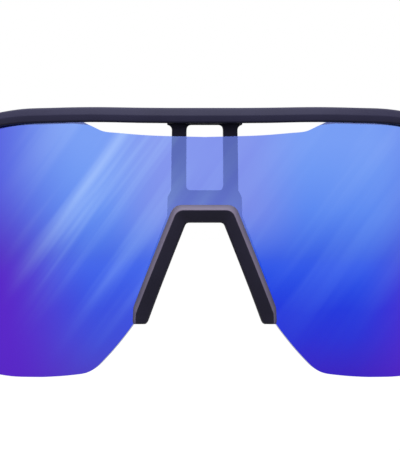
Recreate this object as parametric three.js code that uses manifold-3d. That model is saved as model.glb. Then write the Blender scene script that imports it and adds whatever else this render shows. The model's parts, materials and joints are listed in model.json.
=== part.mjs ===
// Wraparound sport sunglasses: one shield lens hung from a half frame, with a brow bar over a vent gap,
// two struts down to a bridge yoke behind the lens, a clip-on rubber nose pad and two folding temples.
// Millimetres, +Z up. The front faces -Y and the temples run back along +Y. Left and right are the
// wearer's, so left is +X. The object stands on Z = 0, on the lens's two lowest points and both tips.
import * as THREE from "three";
import { mergeVertices } from "three/addons/utils/BufferGeometryUtils.js";
import { TessellateModifier } from "three/addons/modifiers/TessellateModifier.js";
import Module from "manifold-3d";

const wasm = await Module();
wasm.setup();

const rad = THREE.MathUtils.degToRad;
const lerp = THREE.MathUtils.lerp;
const smoothstep = THREE.MathUtils.smoothstep;

// ---- Driving dimensions ----
const gap = 0.3; // left between pieces that touch
const wrapRadius = 80; // the front's bend round the face, in plan
const wrapAngle = rad(56); // where the bend tightens into the corner
const cornerRadius = 14; // the corner between the front and the temples
const browRadius = 160; // the front's slight bend from top to bottom
const middleHeight = 27; // where that bend is furthest forward
const lensThickness = 1.8;
const lensEnd = 74; // the lens's half length, measured round the bend
const lensCorner = 31; // outside this its upper edge is inside the bar
const barFront = -1.3; // how far the bar stands in front of the lens's front face
const barDepth = 5.5; // the bar from front to back
const topLand = 8; // half the level land in the middle of the bar's top
const barEnd = 94; // half its length, before the hinge is cut
const groovedEdge = 1.3; // how far the lens goes up into the bar
const tabRise = 2.7; // the lens's end tabs reach this much further up, to their screws
const yokeThickness = 2;
const strutInner = 4.3; // half the window between the struts
const strutOuter = 7.65;
const strutFillet = 1.15; // the struts run into the bar, and the window's corners are rounded, by this
const windowBottom = 41;
const windowTop = 55.3;
const legWidth = 1.75; // the yoke's legs, beside the notch
const notchTop = 36.8; // top of the lens's nose notch
const notchHalfWidth = 6.08; // half its width there
const notchSlope = 0.399; // how fast the legs of the notch spread, per millimetre down
const footHeight = 11.7; // bottom of the nose pad
const footTop = 16; // where the legs of the notch turn down into the feet
const footOuter = 15.7; // half the width across the pad's feet there
const footLean = 0.07; // how far the feet spread, per millimetre down
const padLip = 1.05; // how far the pad laps over the lens
const bridgeShare = 0.2; // the share of half the notch's edge that runs level across the bridge
const shoulderShare = 0.35; // and the share to where the shoulder's round ends
const shoulderRound = 1.6; // how far along the edge that round reaches, each way
const hingeSlope = rad(12); // the temples slope down towards the ears
const hinge = new THREE.Vector3(65, 45.3, 45.4); // centre of the left hinge's screw
const templeOuter = 4; // the arm's flat outer face, measured outward from the hinge axis
const armLength = 58; // from the hinge to the tip sleeve
const sleeveEnd = 123.5;
const earStart = 74; // where the temple starts to bend down behind the ear
const earRadius = 45;
const earAngle = rad(34);
const closingStart = 45; // behind this the arm curves in towards the head
const closingRadius = 350;

// ---- Small tools ----

// A smooth curve through [position, value] points, with level or shared slopes where they meet.
function profile(points) {
  const slope = points.map(([, value], i) => {
    const before = points[Math.max(i - 1, 0)];
    const after = points[Math.min(i + 1, points.length - 1)];
    return (after[1] - before[1]) / (after[0] - before[0]);
  });
  return (at) => {
    let i = points.findIndex(([position]) => position > at) - 1;
    if (i === -2) i = points.length - 2;
    i = Math.max(i, 0);
    const [start, end] = [points[i], points[i + 1]];
    const span = end[0] - start[0];
    const t = THREE.MathUtils.clamp((at - start[0]) / span, 0, 1);
    const h = t * t * (3 - 2 * t);
    const rise = span * t * (1 - t) * ((1 - t) * slope[i] - t * slope[i + 1]);
    return lerp(start[1], end[1], h) + rise;
  };
}

function polygon(points) {
  return new THREE.Shape(points.map(([x, y]) => new THREE.Vector2(x, y)));
}

function box(x0, x1, y0, y1, z0, z1) {
  const geometry = new THREE.BoxGeometry(x1 - x0, y1 - y0, z1 - z0);
  return geometry.translate((x0 + x1) / 2, (y0 + y1) / 2, (z0 + z1) / 2);
}

// A cylinder standing along Z.
function post(radius, z0, z1, sides = 16) {
  const geometry = new THREE.CylinderGeometry(radius, radius, z1 - z0, sides);
  return geometry.rotateX(Math.PI / 2).translate(0, 0, (z0 + z1) / 2);
}

// Moves each vertex to where move(x, y, z) says, and turns the faces round if that left them inside out.
function bend(geometry, move) {
  const bent = geometry.index ? geometry.toNonIndexed() : geometry;
  const position = bent.attributes.position;
  const corner = [new THREE.Vector3(), new THREE.Vector3(), new THREE.Vector3()];
  let volume = 0;
  for (let i = 0; i < position.count; i++) {
    const point = move(position.getX(i), position.getY(i), position.getZ(i));
    position.setXYZ(i, point.x, point.y, point.z);
    corner[i % 3].copy(point);
    if (i % 3 === 2) volume += corner[0].dot(corner[1].clone().cross(corner[2]));
  }
  if (volume < 0) {
    for (let i = 0; i < position.count; i += 3) {
      const first = [position.getX(i), position.getY(i), position.getZ(i)];
      position.setXYZ(i, position.getX(i + 1), position.getY(i + 1), position.getZ(i + 1));
      position.setXYZ(i + 1, ...first);
    }
  }
  return bent;
}

// A section carried through steps: place(u, v, t) puts the section's point (u, v) at t, from 0 to 1.
function sweep(section, steps, place) {
  const straight = new THREE.ExtrudeGeometry(section, { depth: 1, steps, bevelEnabled: false });
  return bend(straight, place);
}

// The closed solid of a geometry, for cutting and joining.
function solid(geometry) {
  const plain = new THREE.BufferGeometry();
  const source = geometry.index ? geometry.toNonIndexed() : geometry;
  plain.setAttribute("position", source.attributes.position.clone());
  const merged = mergeVertices(plain, 1e-4);
  return new wasm.Manifold(
    new wasm.Mesh({
      numProp: 3,
      vertProperties: merged.attributes.position.array,
      triVerts: new Uint32Array(merged.index.array),
    }),
  );
}

function geometryOf(manifold) {
  const { vertProperties, triVerts } = manifold.getMesh();
  const geometry = new THREE.BufferGeometry();
  geometry.setAttribute("position", new THREE.BufferAttribute(vertProperties, 3));
  geometry.setIndex(new THREE.BufferAttribute(triVerts, 1));
  geometry.computeVertexNormals();
  return geometry;
}

function joined(...geometries) {
  return geometries.map(solid).reduce((whole, piece) => whole.add(piece));
}

function cut(whole, ...geometries) {
  return geometries.map(solid).reduce((rest, cutter) => rest.subtract(cutter), whole);
}

function mirrored(geometry) {
  return bend(geometry.clone(), (x, y, z) => new THREE.Vector3(-x, y, z));
}

// ---- The face: one bent surface that the lens, bar and yoke all follow ----

const arcLength = wrapRadius * wrapAngle;
const cornerLength = cornerRadius * (Math.PI / 2 - wrapAngle);

// The point that lies s round the bend from the middle, at height z, depth behind the lens's front face.
function onFace(s, z, depth) {
  const run = Math.abs(s);
  const side = s < 0 ? -1 : 1;
  const heading = Math.min(run / wrapRadius, wrapAngle);
  let x = wrapRadius * Math.sin(heading);
  let y = wrapRadius * (1 - Math.cos(heading));
  const turned = heading + Math.min(Math.max(run - arcLength, 0) / cornerRadius, Math.PI / 2 - wrapAngle);
  x += cornerRadius * (Math.sin(turned) - Math.sin(heading));
  y += cornerRadius * (Math.cos(heading) - Math.cos(turned));
  y += Math.max(run - arcLength - cornerLength, 0);
  const flat = smoothstep(run, 58, 86); // the end pieces stand upright
  const height = lerp(z, hinge.z, flat);
  const inward = depth + (height - middleHeight) ** 2 / (2 * browRadius);
  x -= inward * Math.sin(turned);
  y += inward * Math.cos(turned);
  return new THREE.Vector3(side * x, y, z);
}

const barTop = profile([
  [0, 58.98],
  [14, 59.1],
  [26, 59.27],
  [36, 59.15],
  [45, 58.85],
  [55, 57.4],
  [65, 55.3],
  [76, 52.7],
  [88.7, 50.0],
  [96, 48.45],
]);
const barBottom = profile([
  [0, 55.65],
  [14, 55.75],
  [26, 55.97],
  [36, 55.85],
  [45, 55.55],
  [52, 54.6],
  [60, 52.7],
  [68, 49.6],
  [76, 46.0],
  [82, 43.2],
  [88.7, 40.8],
  [96, 39.25],
]);
const barThinning = profile([
  [0, 1],
  [58, 1],
  [86, 0.67],
  [96, 0.67],
]);

// The nose notch's edge line, moved w outward from the lens's own edge. t runs from the middle of the
// bridge, at 0, round the shoulder and down the leg to the foot, at 1.
function noseLine(w, t) {
  const topHeight = notchTop + w;
  const lean = Math.hypot(1, notchSlope);
  const cornerX = notchHalfWidth + w * (lean - notchSlope);
  const round = shoulderRound + 0.3 * w;
  const shoulder = new THREE.QuadraticBezierCurve(
    new THREE.Vector2(cornerX - round, topHeight),
    new THREE.Vector2(cornerX, topHeight),
    new THREE.Vector2(cornerX + (round * notchSlope) / lean, topHeight - round / lean),
  );
  if (t <= bridgeShare) return new THREE.Vector2((shoulder.v0.x * t) / bridgeShare, topHeight);
  if (t <= shoulderShare) return shoulder.getPoint((t - bridgeShare) / (shoulderShare - bridgeShare));
  const z = lerp(shoulder.v2.y, footHeight, (t - shoulderShare) / (1 - shoulderShare));
  const legX = cornerX + notchSlope * (topHeight - z);
  const footX = footOuter + 0.7 * (w - padLip) + footLean * (footTop - z);
  return new THREE.Vector2(Math.min(legX, footX), z);
}

// ---- Shield lens ----

const lensTop = profile([
  [0, 52.66],
  [12, 53.0],
  [20, 53.6],
  [23.2, 53.95],
  [25.8, 55.0],
  [28.4, 56.1],
  [lensCorner, 57.2],
]);

function lensUpperEdge(s) {
  if (s < lensCorner) return lensTop(s);
  return barBottom(s) + groovedEdge + tabRise * smoothstep(s, 63, 66.5);
}

const lensRim = new THREE.SplineCurve(
  [
    [15.6, 12.1],
    [17.5, 9.65],
    [20.2, 6.55],
    [23, 3.75],
    [25.0, 2.05],
    [27.2, 0.98],
    [30.5, 0.5],
    [35, 0.15],
    [40, 0],
    [47.5, 0.25],
    [56, 1.8],
    [63, 5.4],
    [68.4, 11.6],
    [71.8, 20],
    [73.5, 30],
    [lensEnd, 39],
  ].map(([s, z]) => new THREE.Vector2(s, z)),
);

// The lens's lower edge from the middle of the notch, at 0, past the nose foot and out to the end, at 1.
function lensLowerEdge(t) {
  if (t < 0.4) return noseLine(0, (t / 0.4) * 0.97);
  return lensRim.getPoint((t - 0.4) / 0.6);
}

// A shell of the lens's outline, grown all round by margin. The ends move out over their last eighth.
function lensShell(margin, columns, rows) {
  const block = new THREE.BoxGeometry(2, 1, 1, 2 * columns, 1, rows);
  return bend(block, (a, b, c) => {
    const side = a < 0 ? -1 : 1;
    const low = lensLowerEdge(Math.abs(a));
    const high = lensUpperEdge(low.x) + margin;
    const s = side * (low.x + margin * Math.max(Math.abs(a) * 8 - 7, 0));
    const depth = lerp(-margin, lensThickness + margin, b + 0.5);
    return onFace(s, lerp(low.y - margin, high, c + 0.5), depth);
  });
}

// A pin that stands square through the front at s, at height z, between two depths.
function pinThrough(s, z, radius, from, to) {
  const base = onFace(s, z, from);
  const tip = onFace(s, z, to);
  const pin = new THREE.CylinderGeometry(radius, radius, base.distanceTo(tip), 12);
  const turn = new THREE.Quaternion().setFromUnitVectors(
    new THREE.Vector3(0, 1, 0),
    tip.clone().sub(base).normalize(),
  );
  return pin.applyQuaternion(turn).translate(...base.add(tip).multiplyScalar(0.5).toArray());
}

// A screw from behind: its tip, the underside of its head and its back, as depths.
const lensScrew = {
  s: 69.5,
  z: barBottom(69.5) + 2.2,
  radius: 0.5,
  headRadius: 1.1,
  tip: -0.45,
  headFront: 3.05,
  headBack: 3.65,
};
const lensScrewHoles = pinThrough(
  lensScrew.s,
  lensScrew.z,
  lensScrew.radius + gap,
  lensScrew.tip - gap,
  barDepth,
);

const shieldLens = cut(
  solid(lensShell(0, 34, 6)),
  lensScrewHoles,
  mirrored(lensScrewHoles),
);

// ---- Brow frame: bar, end pieces, struts, bridge yoke and nose legs in one moulding ----

// Depth and share of the height. The upper part of the front leans back from a crease at half height.
const barSection = polygon([
  [-0.95, 0],
  [barFront, 0.1],
  [barFront, 0.5],
  [-0.55, 0.92],
  [0, 1],
  [3.6, 1],
  [barFront + barDepth, 0.86],
  [barFront + barDepth, 0.12],
  [3.7, 0],
]);

function browBar() {
  return sweep(barSection, 60, (depth, share, t) => {
    const across = 2 * t - 1;
    const s = barEnd * Math.sign(across) * Math.abs(across) ** 0.92;
    const run = Math.abs(s);
    const thinned = barFront + (depth - barFront) * barThinning(run);
    const top = barTop(Math.max(run, topLand));
    return onFace(s, lerp(barBottom(run), top, share), thinned);
  });
}

// Half the yoke's outline: from the bar down the outside of a strut and leg, and back up the inside.
function yokeHalf() {
  const fillet = new THREE.QuadraticBezierCurve(
    new THREE.Vector2(strutOuter + strutFillet, windowTop),
    new THREE.Vector2(strutOuter, windowTop),
    new THREE.Vector2(strutOuter, windowTop - strutFillet),
  );
  const steps = [...Array(13).keys()];
  const besideNotch = (w, from, to) => steps.map((i) => noseLine(w, lerp(from, to, i / 12)));
  return [
    new THREE.Vector2(strutOuter + strutFillet, windowTop + groovedEdge),
    ...fillet.getPoints(3),
    new THREE.Vector2(strutOuter, windowBottom),
    new THREE.Vector2(strutOuter + 0.8, windowBottom - 1.5),
    ...besideNotch(legWidth, 0.4, 1),
    ...besideNotch(0, 1, 0.3),
  ];
}

function roundedWindow() {
  const x = strutInner - strutFillet;
  const low = windowBottom + strutFillet;
  const high = windowTop - strutFillet;
  const quarter = Math.PI / 2;
  return new THREE.Path()
    .absarc(x, low, strutFillet, -quarter, 0)
    .absarc(x, high, strutFillet, 0, quarter)
    .absarc(-x, high, strutFillet, quarter, 2 * quarter)
    .absarc(-x, low, strutFillet, 2 * quarter, 3 * quarter);
}

function yoke() {
  const half = yokeHalf();
  const otherHalf = half.map(({ x, y }) => new THREE.Vector2(-x, y)).reverse();
  const shape = new THREE.Shape([...half, ...otherHalf]);
  shape.holes.push(roundedWindow());
  const plate = new THREE.ExtrudeGeometry(shape, { depth: 1, bevelEnabled: false, curveSegments: 3 });
  const fine = new TessellateModifier(5, 6).modify(plate);
  const front = lensThickness + gap;
  return bend(fine, (s, z, share) => onFace(s, z, front + share * yokeThickness));
}

// ---- Hinge parts, in the temple's own frame: X outward, Y back along the arm, Z along the screw ----

const templeFrame = new THREE.Matrix4()
  .makeRotationX(-hingeSlope)
  .setPosition(hinge);
const barrelRadius = 1.8;
const screwRadius = 0.6;
const middleBarrel = 1.3; // half the temple barrel's height
const barrelStack = 3.4; // half the height of all three barrels
const barrelClearance = 0.25; // between the barrels, along the screw
const leafThickness = 0.9;
const frameLeafLength = 7;
const templeLeafLength = 8;
const plateEdge = barrelRadius + 2 * gap; // the frame leaf's plate stops here, clear of the temple's barrel

// The plate and two barrels moulded into the end piece. grow makes the pocket that it sits in.
function frameLeaf(grow) {
  const low = -barrelStack - grow;
  const face = leafThickness + grow;
  const parts = [box(-grow, face, -frameLeafLength - grow, -plateEdge + grow, low, -low)];
  [-1, 1].forEach((end) => {
    const near = end * (middleBarrel + barrelClearance - grow);
    const far = end * (barrelStack + grow);
    const [z0, z1] = [Math.min(near, far), Math.max(near, far)];
    parts.push(box(-grow, face, -plateEdge - 2 * gap, 0, z0, z1));
    parts.push(post(barrelRadius + grow, z0, z1));
  });
  return joined(...parts);
}

function templeLeaf(grow) {
  const high = middleBarrel + grow;
  return joined(
    box(-grow, leafThickness + grow, 0, templeLeafLength + grow, -high, high),
    post(barrelRadius + grow, -high, high),
  );
}

const screwBore = post(screwRadius + gap, -6, 6);
const hingeRecess = post(barrelRadius + 0.35, -barrelStack - 0.4, 8, 20);

function inFrame(geometry) {
  return geometry.clone().applyMatrix4(templeFrame);
}

function endPieceCuts() {
  const beyondHinge = box(-20, 20, -0.2, 30, -20, 20);
  return [
    inFrame(beyondHinge),
    inFrame(hingeRecess),
    inFrame(geometryOf(frameLeaf(gap))),
    lensScrewHoles,
    pinThrough(
      lensScrew.s,
      lensScrew.z,
      lensScrew.headRadius + gap,
      lensScrew.headFront - gap,
      barDepth + 1,
    ),
  ];
}

const browFrame = cut(
  cut(joined(browBar(), yoke()), lensShell(gap, 34, 3)),
  ...endPieceCuts(),
  ...endPieceCuts().map(mirrored),
);

// ---- Nose pad ----

// Outward from the lens's edge, and depth. A groove takes the edge of the lens and the yoke behind it;
// the lip laps the lens's front up to a crest, inside which the front falls away, and the wing flares
// back to lie on the side of the nose.
const grooveBack = lensThickness + yokeThickness + 2 * gap;
const padSection = [
  [padLip, -gap],
  [0.95, -0.75],
  [-0.1, -1.45],
  [-0.35, -1.42],
  [-2.65, -0.1],
  [-2.95, 0.5],
  [-2.7, 2.6],
  [-1.5, 6],
  [0.4, 9.2],
  [1.7, 9.9],
  [2.6, 9],
  [2.3, 6.8],
  [1.6, grooveBack],
  [-gap, grooveBack],
  [-gap, -gap],
];
const wireSeat = { w: 0.1, depth: 6.1, radius: 0.45 };
const bridgeWing = 0.42; // the wing's share of its full depth across the bridge
const footWing = 0.8; // and at the feet

// Carries a section point round the notch. The wing is short across the bridge.
function roundNotch(w, depth, t) {
  const side = t < 0.5 ? 1 : -1;
  const along = Math.abs(2 * t - 1);
  const wing =
    lerp(bridgeWing, 1, smoothstep(along, 0.2, 0.6)) * lerp(1, footWing, smoothstep(along, 0.85, 1));
  const behind = Math.max(depth - grooveBack, 0);
  const back = Math.min(depth, grooveBack) + behind * wing;
  const flare = w < 0 ? lerp(-2.75, w, wing) : lerp(1, w, wing);
  const line = noseLine(depth > grooveBack ? flare : w, along);
  return onFace(side * line.x, line.y, back);
}

const padStations = 36;
const nosePad = cut(
  solid(sweep(polygon(padSection), padStations, roundNotch)),
  wireAlong(wireSeat.radius + gap, 0.04),
);

// The wire follows the bridge and both legs. over is how far its ends run past the stated length.
function wireAlong(radius, over) {
  const start = 0.03 - over;
  const ring = new THREE.Shape().absarc(0, 0, radius, 0, 2 * Math.PI);
  const straight = new THREE.ExtrudeGeometry(ring, {
    depth: 1,
    steps: 36,
    bevelEnabled: false,
    curveSegments: 4,
  });
  return bend(straight, (u, v, t) => {
    const at = lerp(start, 1 - start, t);
    const inside = THREE.MathUtils.clamp(at, 0, 1);
    const seat = roundNotch(wireSeat.w, wireSeat.depth, inside);
    const ahead = roundNotch(wireSeat.w, wireSeat.depth, Math.min(inside + 0.002, 1));
    const behind = roundNotch(wireSeat.w, wireSeat.depth, Math.max(inside - 0.002, 0));
    const along = ahead.sub(behind).normalize();
    const across = new THREE.Vector3(0, 1, 0).cross(along).normalize();
    const upright = along.clone().cross(across);
    return seat
      .addScaledVector(across, u)
      .addScaledVector(upright, v)
      .addScaledVector(along, (at - inside) * 60);
  });
}

// ---- Temples, in the temple's own frame ----

const straightEnd = sleeveEnd - earStart - earRadius * earAngle;

// Where the arm's middle line is at a length along it: back, up and its slope downward.
function templeLine(length) {
  const turn = THREE.MathUtils.clamp((length - earStart) / earRadius, 0, earAngle);
  const tail = Math.max(length - earStart - earRadius * earAngle, 0);
  return {
    back: Math.min(length, earStart) + earRadius * Math.sin(turn) + tail * Math.cos(turn),
    up: -earRadius * (1 - Math.cos(turn)) - tail * Math.sin(turn),
    turn,
  };
}

function closingIn(length) {
  return Math.max(length - closingStart, 0) ** 2 / (2 * closingRadius);
}

function alongTemple(outward, high, length) {
  const line = templeLine(length);
  return new THREE.Vector3(
    outward - closingIn(length),
    line.back + high * Math.sin(line.turn),
    line.up + high * Math.cos(line.turn),
  );
}

const armHeight = profile([
  [0, 9.1],
  [12, 8.3],
  [32, 6.9],
  [armLength, 6],
]);
const armInner = profile([
  [0, 0.3],
  [30, 0.45],
  [armLength, 0.8],
]);

// Share of the thickness, from the inner face, and share of the height.
const armSection = polygon([
  [0.1, -0.5],
  [0.9, -0.5],
  [1, -0.38],
  [1, 0.02],
  [0.8, 0.44],
  [0.66, 0.5],
  [0.12, 0.5],
  [0, 0.4],
  [0, -0.4],
]);

function armBlade() {
  return sweep(armSection, 16, (across, high, t) => {
    const length = lerp(0.2, armLength, t);
    const outward = lerp(armInner(length), templeOuter, across);
    return alongTemple(outward, high * armHeight(length), length);
  });
}

// A straight-sided bar along the temple's line, between two lengths.
function barAlong(x0, x1, halfHeight, from, to, steps) {
  const section = polygon([
    [x0, -halfHeight],
    [x1, -halfHeight],
    [x1, halfHeight],
    [x0, halfHeight],
  ]);
  return sweep(section, steps, (across, high, t) => alongTemple(across, high, lerp(from, to, t)));
}

const tenon = { inner: 1.2, outer: 3.6, halfHeight: 2.2, end: 68 };
const wireOutward = 2.4;
const tipWire = { radius: 0.45, from: 61, to: 114 };

function tipWireSolid(grow, from, to, steps) {
  const ring = polygon(
    [...Array(8).keys()].map((i) => {
      const angle = (i * Math.PI) / 4;
      const radius = tipWire.radius + grow;
      return [wireOutward + radius * Math.cos(angle), radius * Math.sin(angle)];
    }),
  );
  return sweep(ring, steps, (across, high, t) => alongTemple(across, high, lerp(from, to, t)));
}

const grip = { from: 28, to: 52, halfHeight: 1.7, outer: 1.15, proud: 0.35 };

const templeArm = cut(
  joined(armBlade(), barAlong(tenon.inner, tenon.outer, tenon.halfHeight, armLength - 1, tenon.end, 4)),
  hingeRecess,
  geometryOf(templeLeaf(gap)),
  tipWireSolid(gap, tipWire.from - gap, tenon.end + 1, 3),
  barAlong(-1, grip.outer + gap, grip.halfHeight + gap, grip.from - gap, grip.to + gap, 6),
);

const templeGrip = barAlong(armInner(40) - grip.proud, grip.outer, grip.halfHeight, grip.from, grip.to, 6);

const sleeveHeight = profile([
  [armLength, 6.6],
  [70, 7.1],
  [88, 8.6],
  [104, 8.2],
  [sleeveEnd - 6, 6.8],
  [sleeveEnd - 1.5, 4.6],
  [sleeveEnd, 2.4],
]);
const sleeveHalfThickness = profile([
  [armLength, 2.3],
  [90, 2.5],
  [sleeveEnd - 10, 2.3],
  [sleeveEnd - 2.5, 1.8],
  [sleeveEnd, 1],
]);
const sleeveSection = polygon([
  [-0.55, -0.5],
  [0.55, -0.5],
  [1, -0.3],
  [1, 0.3],
  [0.55, 0.5],
  [-0.55, 0.5],
  [-1, 0.3],
  [-1, -0.3],
]);

function sleeveBody() {
  return sweep(sleeveSection, 24, (across, high, t) => {
    const length = lerp(armLength + gap, sleeveEnd, t ** 0.85);
    const outward = wireOutward + across * sleeveHalfThickness(length);
    return alongTemple(outward, high * sleeveHeight(length), length);
  });
}

const tipSleeve = cut(
  solid(sleeveBody()),
  barAlong(
    tenon.inner - gap,
    tenon.outer + gap,
    tenon.halfHeight + gap,
    armLength - 1,
    tenon.end + gap,
    4,
  ),
  tipWireSolid(gap, tenon.end - 1, tipWire.to + gap, 16),
);

const hingeScrewHead = { radius: 1.25, from: barrelStack + 0.25, to: barrelStack + 0.95, slot: 0.36 };

function hingeScrew() {
  const { radius, from, to, slot } = hingeScrewHead;
  const head = post(radius, from, to);
  const shaft = post(screwRadius, -barrelStack - 0.1, from + gap);
  const driverSlot = box(-radius - 1, radius + 1, -slot / 2, slot / 2, to - 0.35, to + 1);
  return cut(joined(head, shaft), driverSlot);
}

function lensScrewSolid() {
  const { s, z, radius, headRadius, tip, headFront, headBack } = lensScrew;
  return joined(
    pinThrough(s, z, radius, tip, headFront + 0.25),
    pinThrough(s, z, headRadius, headFront, headBack),
  );
}

// ---- Materials and assembly ----

const frameNylon = new THREE.MeshStandardMaterial({ color: 0x2a2836, roughness: 0.55, metalness: 0 });
const mirrorLens = new THREE.MeshStandardMaterial({
  color: 0x4a6cf0,
  roughness: 0.08,
  metalness: 0.6,
  transparent: true,
  opacity: 0.8,
});
const softRubber = new THREE.MeshStandardMaterial({ color: 0x24222a, roughness: 0.8, metalness: 0 });
const steel = new THREE.MeshStandardMaterial({ color: 0x8c8d92, roughness: 0.35, metalness: 1 });
const wireMetal = new THREE.MeshStandardMaterial({ color: 0xb4b6ba, roughness: 0.4, metalness: 1 });

function piece(name, shape, material) {
  const geometry = shape instanceof wasm.Manifold ? geometryOf(shape) : shape;
  const mesh = new THREE.Mesh(geometry, material);
  mesh.name = name;
  return mesh;
}

const templePieces = {
  frame_hinge_leaf: [cut(frameLeaf(0), screwBore), steel],
  temple_hinge_leaf: [cut(templeLeaf(0), screwBore), steel],
  hinge_screw: [hingeScrew(), steel],
  temple_arm: [templeArm, frameNylon],
  temple_grip: [solid(templeGrip), softRubber],
  tip_sleeve: [tipSleeve, softRubber],
  tip_wire: [solid(tipWireSolid(0, tipWire.from, tipWire.to, 18)), wireMetal],
};

// One side's hinge, temple and lens screw. The right side's shapes are the left side's, mirrored.
function sidePieces(side) {
  const turned = side === "left" ? (shape) => shape : mirrored;
  const temple = new THREE.Group();
  temple.position.set(side === "left" ? hinge.x : -hinge.x, hinge.y, hinge.z);
  temple.rotation.x = -hingeSlope;
  Object.entries(templePieces).forEach(([name, [shape, material]]) => {
    temple.add(piece(`${side}_${name}`, turned(geometryOf(shape)), material));
  });
  const half = new THREE.Group();
  half.add(temple, piece(`${side}_lens_screw`, turned(geometryOf(lensScrewSolid())), steel));
  return half;
}

const sunglasses = new THREE.Group();
sunglasses.add(
  piece("brow_frame", browFrame, frameNylon),
  piece("shield_lens", shieldLens, mirrorLens),
  piece("nose_pad", nosePad, softRubber),
  piece("nose_pad_wire", wireAlong(wireSeat.radius, 0), wireMetal),
  sidePieces("left"),
  sidePieces("right"),
);

// Centre it front to back and stand it on Z = 0.
const extent = new THREE.Box3().setFromObject(sunglasses, true);
sunglasses.position.set(0, -(extent.min.y + extent.max.y) / 2, -extent.min.z);

export default sunglasses;
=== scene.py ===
import bpy
import json
import math
from mathutils import Matrix, Vector


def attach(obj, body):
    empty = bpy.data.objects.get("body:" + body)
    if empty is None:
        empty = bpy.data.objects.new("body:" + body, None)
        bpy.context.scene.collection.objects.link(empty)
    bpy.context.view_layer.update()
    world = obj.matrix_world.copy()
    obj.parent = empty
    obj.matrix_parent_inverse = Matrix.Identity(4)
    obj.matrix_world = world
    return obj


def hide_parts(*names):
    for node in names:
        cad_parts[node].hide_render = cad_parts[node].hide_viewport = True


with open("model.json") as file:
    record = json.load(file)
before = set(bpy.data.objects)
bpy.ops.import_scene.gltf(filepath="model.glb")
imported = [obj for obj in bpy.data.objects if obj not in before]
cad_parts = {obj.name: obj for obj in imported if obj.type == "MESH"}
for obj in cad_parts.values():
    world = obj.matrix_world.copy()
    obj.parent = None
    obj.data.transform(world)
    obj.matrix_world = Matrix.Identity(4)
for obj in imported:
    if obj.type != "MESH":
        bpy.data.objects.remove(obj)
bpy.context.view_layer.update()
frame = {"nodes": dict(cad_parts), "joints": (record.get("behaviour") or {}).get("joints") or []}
print("frame loaded")

millimetre = 0.001
clearance = 0.3  # left between pieces that touch
joints = {joint["name"]: joint for joint in frame["joints"]}
hingeAt = Vector(joints["left_temple_fold"]["pos_m"])  # the left hinge, which all the rest is placed from


def pick(obj):
    bpy.ops.object.select_all(action="DESELECT")
    obj.select_set(True)
    bpy.context.view_layer.objects.active = obj


def inEditMode(obj, work):
    pick(obj)
    bpy.ops.object.mode_set(mode="EDIT")
    bpy.ops.mesh.select_all(action="SELECT")
    work()
    bpy.ops.object.mode_set(mode="OBJECT")


def added(name):
    obj = bpy.context.object
    obj.name = name
    obj.data.name = name
    return obj


def applyModifier(obj, kind, **settings):
    pick(obj)
    modifier = obj.modifiers.new(kind.lower(), kind)
    for key, value in settings.items():
        setattr(modifier, key, value)
    bpy.ops.object.modifier_apply(modifier=modifier.name)


def moveVertices(obj, move):
    for vertex in obj.data.vertices:
        vertex.co = move(*vertex.co)
    obj.data.update()


def cleanUp(obj):
    def work():
        bpy.ops.mesh.remove_doubles(threshold=1e-7)
        bpy.ops.mesh.normals_make_consistent(inside=False)
    inEditMode(obj, work)


def roundEdges(obj, width, angle=30, segments=2):
    applyModifier(obj, "BEVEL", width=width * millimetre, segments=segments, limit_method="ANGLE",
                  angle_limit=math.radians(angle), use_clamp_overlap=True, harden_normals=False)


def combine(obj, other, operation):
    applyModifier(obj, "BOOLEAN", object=other, operation=operation, solver="EXACT")
    bpy.data.objects.remove(other)


def smooth(obj, angle=32):
    pick(obj)
    bpy.ops.object.shade_smooth_by_angle(angle=math.radians(angle))


def mirrorCopy(obj, name):
    copy = obj.copy()
    copy.data = obj.data.copy()
    copy.name = name
    bpy.context.collection.objects.link(copy)

    def work():
        bpy.ops.transform.resize(value=(-1, 1, 1), center_override=(0, 0, 0))
        bpy.ops.mesh.flip_normals()
    inEditMode(copy, work)
    return copy


def finishPiece(obj, name, body, surfaces, nodes):
    obj.name = name
    obj.data.name = name
    if not obj.data.materials:  # the lens has had its own since it was a sheet
        for surface in surfaces:
            obj.data.materials.append(surface)
    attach(obj, body)
    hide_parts(*nodes)


def clamp(value, low, high):
    return max(low, min(high, value))


def lerp(start, end, share):
    return start + (end - start) * share


def smoothstep(value, low, high):
    share = clamp((value - low) / (high - low), 0, 1)
    return share * share * (3 - 2 * share)


# A smooth curve through (position, value) points.
def profile(*points):
    last = len(points) - 1
    slopes = []
    for i in range(len(points)):
        before = points[max(i - 1, 0)]
        after = points[min(i + 1, last)]
        slopes.append((after[1] - before[1]) / (after[0] - before[0]))

    def curve(position):
        i = 0
        while i < last - 1 and points[i + 1][0] <= position:
            i += 1
        span = points[i + 1][0] - points[i][0]
        t = clamp((position - points[i][0]) / span, 0, 1)
        blend = t * t * (3 - 2 * t)
        rise = span * t * (1 - t) * ((1 - t) * slopes[i] - t * slopes[i + 1])
        return lerp(points[i][1], points[i + 1][1], blend) + rise
    return curve


# An evenly stepped smooth line through points, from t = 0 to 1.
def smoothLine(*points):
    spots = [Vector(point) for point in points]

    def line(t):
        place = t * (len(spots) - 1)
        i = int(clamp(math.floor(place), 0, len(spots) - 2))
        w = place - i
        start, end = spots[i], spots[i + 1]
        startSlope = (end - spots[max(i - 1, 0)]) * 0.5
        endSlope = (spots[min(i + 2, len(spots) - 1)] - start) * 0.5
        return (
            start * (2 * w**3 - 3 * w**2 + 1)
            + end * (3 * w**2 - 2 * w**3)
            + startSlope * (w**3 - 2 * w**2 + w)
            + endSlope * (w**3 - w**2)
        )
    return line


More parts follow.
